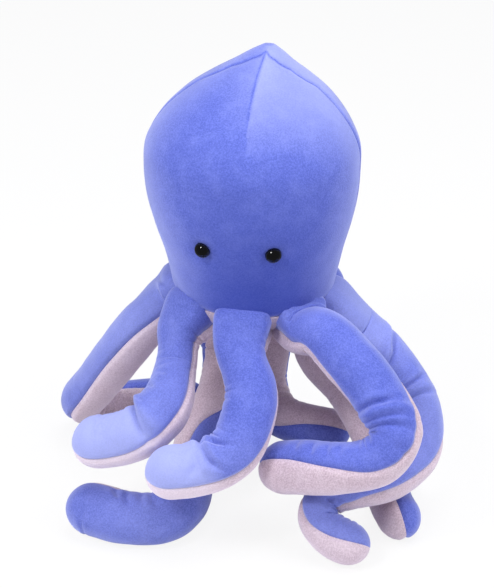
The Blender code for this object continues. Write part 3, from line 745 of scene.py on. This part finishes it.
def make_arm_half(name, ring, side, points, nap_light_and_shade, keep_blue, finish):
    """One panel of an arm as a closed stuffed half, shut by a wall along the seam."""
    n = ARM_SIDES
    index = {}
    for i, (r, s) in enumerate(zip(ring, side)):
        index[(r, 0 if r in (0, ARM_RINGS) else s)] = i
    first = 0 if keep_blue else n // 2
    bm = bmesh.new()
    made = {}

    def vert(r, s):
        key = (r, 0 if r in (0, ARM_RINGS) else s % n)
        if key not in made:
            made[key] = bm.verts.new(points[index[key]])
        return made[key]

    for r in range(ARM_RINGS):
        for s in range(first, first + n // 2):
            corners = [vert(r, s), vert(r + 1, s), vert(r + 1, s + 1), vert(r, s + 1)]
            corners = list(dict.fromkeys(corners))
            bm.faces.new(corners)
        wall = [vert(r, first), vert(r, first + n // 2), vert(r + 1, first + n // 2), vert(r + 1, first)]
        bm.faces.new(list(dict.fromkeys(wall)))
    bmesh.ops.recalc_face_normals(bm, faces=bm.faces)
    mesh = bpy.data.meshes.new(name)
    bm.to_mesh(mesh)
    bm.free()
    mesh.shade_smooth()
    # the painted light and shade of each vertex, partly the pile's own nap
    store_nap_light_and_shade(mesh, [nap_light_and_shade[index[key]] for key in made])
    mesh.materials.append(finish)
    piece = bpy.data.objects.new(name, mesh)
    bpy.context.collection.objects.link(piece)
    return piece


def wrinkles(arm, places, angles, seed):
    """How far the cloth is pushed in where the arm bends, in folds square to the arm."""
    bend, up, across, roll = (arm.at(places, values) for values in (arm.bend, arm.up, arm.across, arm.roll))
    inner = np.arctan2(np.sum(bend * up, axis=1), np.sum(bend * across, axis=1)) + roll
    facing = np.cos(angles - inner)
    tight = np.clip(np.linalg.norm(bend, axis=1) * ARM_THICKNESS / 2, 0, 1)
    waves = [noise.noise(Vector((p / WRINKLE_WAVE, a * 1.2, seed))) for p, a in zip(places, angles)]
    warped = places + WRINKLE_WARP * np.array(waves)
    valley = 1 - np.abs(np.sin(math.pi * warped / WRINKLE_SPACING)) ** 0.8
    return WRINKLE_DEPTH * tight * smoothstep((facing - 0.05) / 1.0) * (valley - 0.35)


def make_arm(name, finishes, seed):
    arm = Arm(*ARM_ROUTE_SHARES[name])
    whole, ring, side = ball("arm_" + name, ARM_SIDES, ARM_RINGS)
    bpy.data.objects.remove(whole)
    places = arm_places(arm)[ring]
    angles = side * 2 * math.pi / ARM_SIDES
    middle, reach = arm_surface(arm, places, angles, STUFFING_SHARES.get(name, ((0, 1.0),)))
    sidestep = ROOT_SIDESTEPS.get(name, 0.0) * (1 - smoothstep(places / ROOT_TAPER))
    points = middle + reach + arm.across[0] * sidestep[:, None]
    length = np.linalg.norm(reach, axis=1)
    out = unit(reach)
    full = np.clip(length / 0.012, 0, 1)
    from_seam = np.abs(np.sin(angles)) * length
    move = LUMP_HEIGHT * lumps(points, ARM_LUMP, seed)
    move += SMALL_LUMP_HEIGHT * lumps(points, ARM_SMALL_LUMP, seed + ARM_SMALL_SEED_STEP)
    move -= ARM_SEAM_DEPTH * np.exp(-(from_seam / ARM_SEAM_WIDTH) ** 2)
    move += fold_depth(name, places, angles)
    move -= wrinkles(arm, places, angles, seed)
    points += out * (move * full)[:, None]
    points += RIM_MIDDLE
    # pressed flat on the floor
    low = points[:, 2] < FLOOR_SOFT
    points[low, 2] = FLOOR_SOFT * np.exp((points[low, 2] - FLOOR_SOFT) / FLOOR_SOFT)
    # painted light and painted shade along the arm, partly the pile's own nap
    at, values = zip(*ARM_NAP_LIGHT_AND_SHADE.get(name, ((0, 0.0),)))
    nap_light_and_shade = np.interp(places * 1000, at, values)
    pieces = []
    for suffix, keep_blue, finish in zip(("top", "underside"), (True, False), finishes):
        piece_name = f"arm_{name}_{suffix}"
        pieces.append(make_arm_half(piece_name, ring, side, points, nap_light_and_shade, keep_blue, finish))
    return arm, pieces


# The eyes


def make_eye(side, turn, finish):
    seat, out = eye_seat(turn)
    piece, ring, segment = ball("eye_dome_" + side, 48, 24)
    radius = EYE_DIAMETER / 2
    share = ring / 24
    r = radius * np.sin(np.pi * share)
    height = np.where(share < 0.5, EYE_BULGE * np.cos(np.pi * share), 0.0012 * np.cos(np.pi * share))
    angle = segment / 48 * 2 * math.pi
    local = np.stack([r * np.cos(angle), r * np.sin(angle), height], axis=-1)
    turn_to = np.array(Vector(out).to_track_quat("Z", "Y").to_matrix())
    place_vertices(piece, local @ turn_to.T + seat - out * 0.0006)
    face_out(piece)
    piece.data.materials.append(finish)
    return piece


# Materials


def add(tree, kind, settings=(), links=()):
    """A node with its settings and its incoming links."""
    node = tree.nodes.new(kind)
    for key, value in dict(settings).items():
        if isinstance(key, str) and hasattr(node, key):
            setattr(node, key, value)
        else:
            node.inputs[key].default_value = value
    for key, source in dict(links).items():
        tree.links.new(source, node.inputs[key])
    return node


def share_of(tree, value, low, high, most=1.0):
    """How far a value has come from low to high, up to this most."""
    return add(tree, "ShaderNodeMapRange", {1: low, 2: high, 3: 0.0, 4: most}, {0: value}).outputs[0]


def lay_over(tree, under, over, share):
    """Lays a hex colour by this share over the colour under it, a hex colour or a socket."""
    settings, links = {"data_type": "RGBA", 7: linear(over)}, {0: share}
    if isinstance(under, str):
        settings[6] = linear(under)
    else:
        links[6] = under
    return add(tree, "ShaderNodeMix", settings, links).outputs[2]


def velour(name, base, light, dark, painted_shade, sheen_and_painted_light):
    """Short-pile velour: a knitted back with short pile, matt, and a painted sheen: paler at grazing
    angles, where the eye sees the pile's tips. The pile's grain is about 1 mm, and its nap 12 mm.
    Its colour also carries painted light and painted shade from each vertex, partly the pile's own nap."""
    finish = bpy.data.materials.new(name)
    finish.use_nodes = True
    tree = finish.node_tree
    shader = tree.nodes["Principled BSDF"]
    shader.inputs["Roughness"].default_value = 0.95
    shader.inputs["Specular IOR Level"].default_value = 0.1
    shader.inputs["Sheen Weight"].default_value = 0.7
    shader.inputs["Sheen Roughness"].default_value = 0.38
    shader.inputs["Sheen Tint"].default_value = linear(sheen_and_painted_light)
    where = add(tree, "ShaderNodeTexCoord").outputs["Object"]
    tuft_noise = {"Scale": TUFTS_PER_METRE, "Detail": 2.0, "Roughness": 0.7}
    tuft = add(tree, "ShaderNodeTexNoise", tuft_noise, {"Vector": where}).outputs["Fac"]
    nap_noise = {"Scale": NAP_PER_METRE, "Detail": 3.0, "Roughness": 0.6}
    nap = add(tree, "ShaderNodeTexNoise", nap_noise, {"Vector": where}).outputs["Fac"]
    nap_light_and_shade_share = add(tree, "ShaderNodeAttribute", {"attribute_name": "nap_light_and_shade"}).outputs["Fac"]
    facing = add(tree, "ShaderNodeLayerWeight", {"Blend": 0.35}).outputs["Facing"]
    colour = lay_over(tree, dark, base, share_of(tree, tuft, 0.36, 0.64))
    colour = lay_over(tree, colour, light, share_of(tree, nap, 0.45, 0.8, most=0.35))
    # painted light towards the pale colour and painted shade towards the deep one, partly the pile's own nap
    colour = lay_over(tree, colour, sheen_and_painted_light, share_of(tree, nap_light_and_shade_share, 0.0, 1.0, most=0.55))
    colour = lay_over(tree, colour, painted_shade, share_of(tree, nap_light_and_shade_share, 0.0, -1.0, most=0.8))
    # painted sheen: paler at grazing angles, where the pile's tips are seen
    colour = lay_over(tree, colour, sheen_and_painted_light, share_of(tree, facing, 0.25, 1.0, most=0.5))
    tree.links.new(colour, shader.inputs["Base Color"])
    bump = add(tree, "ShaderNodeBump", {"Strength": 0.6, "Distance": 0.0004}, {"Height": tuft})
    tree.links.new(bump.outputs["Normal"], shader.inputs["Normal"])
    return finish


def plastic(name, colour, roughness, specular):
    """Moulded plastic with a fine unevenness in its gloss, so that a highlight has a soft edge."""
    finish = bpy.data.materials.new(name)
    finish.use_nodes = True
    tree = finish.node_tree
    shader = tree.nodes["Principled BSDF"]
    shader.inputs["Base Color"].default_value = linear(colour)
    shader.inputs["Specular IOR Level"].default_value = specular
    where = add(tree, "ShaderNodeTexCoord").outputs["Object"]
    wear = add(tree, "ShaderNodeTexNoise", {"Scale": 900.0, "Detail": 2.0}, {"Vector": where})
    least, most = roughness, roughness * 1.6
    rough = add(tree, "ShaderNodeMapRange", {3: least, 4: most}, {0: wear.outputs["Fac"]})
    tree.links.new(rough.outputs[0], shader.inputs["Roughness"])
    return finish


# Floor, lamps and camera


def make_stage():
    deselect()
    bpy.ops.mesh.primitive_plane_add(size=12.0, location=(0, 0, -0.0002))
    floor = bpy.context.object
    floor.name = "studio_floor"
    finish = bpy.data.materials.new("white studio paper")
    finish.use_nodes = True
    tree = finish.node_tree
    tree.nodes.clear()
    diffuse = add(tree, "ShaderNodeBsdfDiffuse", {"Color": linear("#f2f2f4")})
    glow = add(tree, "ShaderNodeEmission", {"Color": linear("#ffffff"), "Strength": 1.0})
    path = add(tree, "ShaderNodeLightPath")
    seen = {0: path.outputs["Is Camera Ray"]}
    share = add(tree, "ShaderNodeMath", {"operation": "MULTIPLY", 1: 0.88}, seen).outputs[0]
    mixed = add(tree, "ShaderNodeMixShader", {}, {0: share, 1: diffuse.outputs[0], 2: glow.outputs[0]})
    add(tree, "ShaderNodeOutputMaterial", {}, {"Surface": mixed.outputs[0]})
    floor.data.materials.append(finish)
    floor.visible_glossy = False


def make_world():
    world = bpy.data.worlds.new("studio")
    bpy.context.scene.world = world
    world.use_nodes = True
    tree = world.node_tree
    tree.nodes.clear()
    path = add(tree, "ShaderNodeLightPath")
    rays = {0: path.outputs["Is Camera Ray"], 1: path.outputs["Is Transmission Ray"]}
    seen = add(tree, "ShaderNodeMath", {"operation": "MAXIMUM"}, rays)
    light = add(tree, "ShaderNodeBackground", {"Color": linear("#f4f5ff"), "Strength": 0.22})
    white = add(tree, "ShaderNodeBackground", {"Color": linear("#ffffff"), "Strength": 1.0})
    shares = {0: seen.outputs[0], 1: light.outputs[0], 2: white.outputs[0]}
    mixed = add(tree, "ShaderNodeMixShader", {}, shares)
    add(tree, "ShaderNodeOutputWorld", {}, {"Surface": mixed.outputs[0]})


def make_lamp(name, place, size, power, mirrored):
    """A soft lamp. Only the key lamp is mirrored in the eyes, as their one small highlight."""
    data = bpy.data.lights.new(name, "AREA")
    data.shape = "SQUARE"
    data.size = size
    data.energy = power
    lamp = bpy.data.objects.new(name, data)
    lamp.location = place
    lamp.rotation_mode = "QUATERNION"
    lamp.rotation_quaternion = (Vector(place) - Vector(LAMP_AIM)).to_track_quat("Z", "Y")
    lamp.visible_glossy = mirrored
    bpy.context.collection.objects.link(lamp)


def make_camera():
    azimuth, elevation = math.radians(CAMERA_AZIMUTH), math.radians(CAMERA_ELEVATION)
    level = (math.sin(azimuth) * math.cos(elevation), -math.cos(azimuth) * math.cos(elevation))
    back = Vector((*level, math.sin(elevation)))
    data = bpy.data.cameras.new("camera")
    data.sensor_fit = "VERTICAL"
    data.sensor_height = SENSOR
    data.sensor_width = SENSOR
    data.lens = CAMERA_DISTANCE_MM / MM_PER_PIXEL * SENSOR / PHOTO_HEIGHT
    data.shift_x = (PHOTO_MIDDLE[0] - AIM_PIXEL[0]) / PHOTO_HEIGHT
    data.shift_y = (AIM_PIXEL[1] - PHOTO_MIDDLE[1]) / PHOTO_HEIGHT
    camera = bpy.data.objects.new("camera", data)
    camera.location = Vector(RIM_MIDDLE) + Vector((0, 0, AIM_HEIGHT)) + back * (CAMERA_DISTANCE_MM / 1000)
    camera.rotation_mode = "QUATERNION"
    camera.rotation_quaternion = back.to_track_quat("Z", "Y")
    bpy.context.collection.objects.link(camera)
    bpy.context.scene.camera = camera


def main():
    bpy.context.scene.view_settings.view_transform = "Standard"
    make_camera()
    make_world()
    make_stage()
    for lamp in LAMPS:
        make_lamp(*lamp)
    # each velour: its own colour, paler nap patches, darker grain, painted shade, and the sheen tint that is
    # also its painted light
    blue = velour("blue short-pile velour", "#6a77cf", "#8591e2", "#5360b6", "#3646a4", "#c3cafa")
    pale = velour("pale lilac short-pile velour", "#d8c6d2", "#e4d6e0", "#b9a3b1", "#a58c9c", "#efe4f2")
    black = plastic("glossy black safety eye", "#020203", 0.05, 0.45)
    white = plastic("white moulded washer", "#e9e9e4", 0.35, 0.5)

    mantle = make_mantle(blue)
    back_panels = ("mantle_back_left_panel", "mantle_back_right_panel")
    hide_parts("mantle_front_panel", *back_panels, "mantle_filling")
    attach(mantle, "toy_body")
    base = make_base(pale)
    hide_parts("base")
    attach(base, "toy_body")
    for seed, name in enumerate(ARM_ROUTE_SHARES):
        arm, (top, underside) = make_arm(name, (blue, pale), seed)
        for piece, nodes, slot in (
            (top, (f"arm_{name}_top_panel", f"arm_{name}_filling"), "blue_velour"),
            (underside, (f"arm_{name}_underside_panel",), "pale_velour"),
        ):
            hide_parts(*nodes)
            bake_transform(piece)
    for side, turn in (("left", -EYE_TURN), ("right", EYE_TURN)):
        eye = make_eye(side, turn, black)
        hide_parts("eye_" + side)
        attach(eye, "toy_body")
        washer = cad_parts["eye_washer_" + side]
        for socket in washer.material_slots:
            socket.material = white


main()
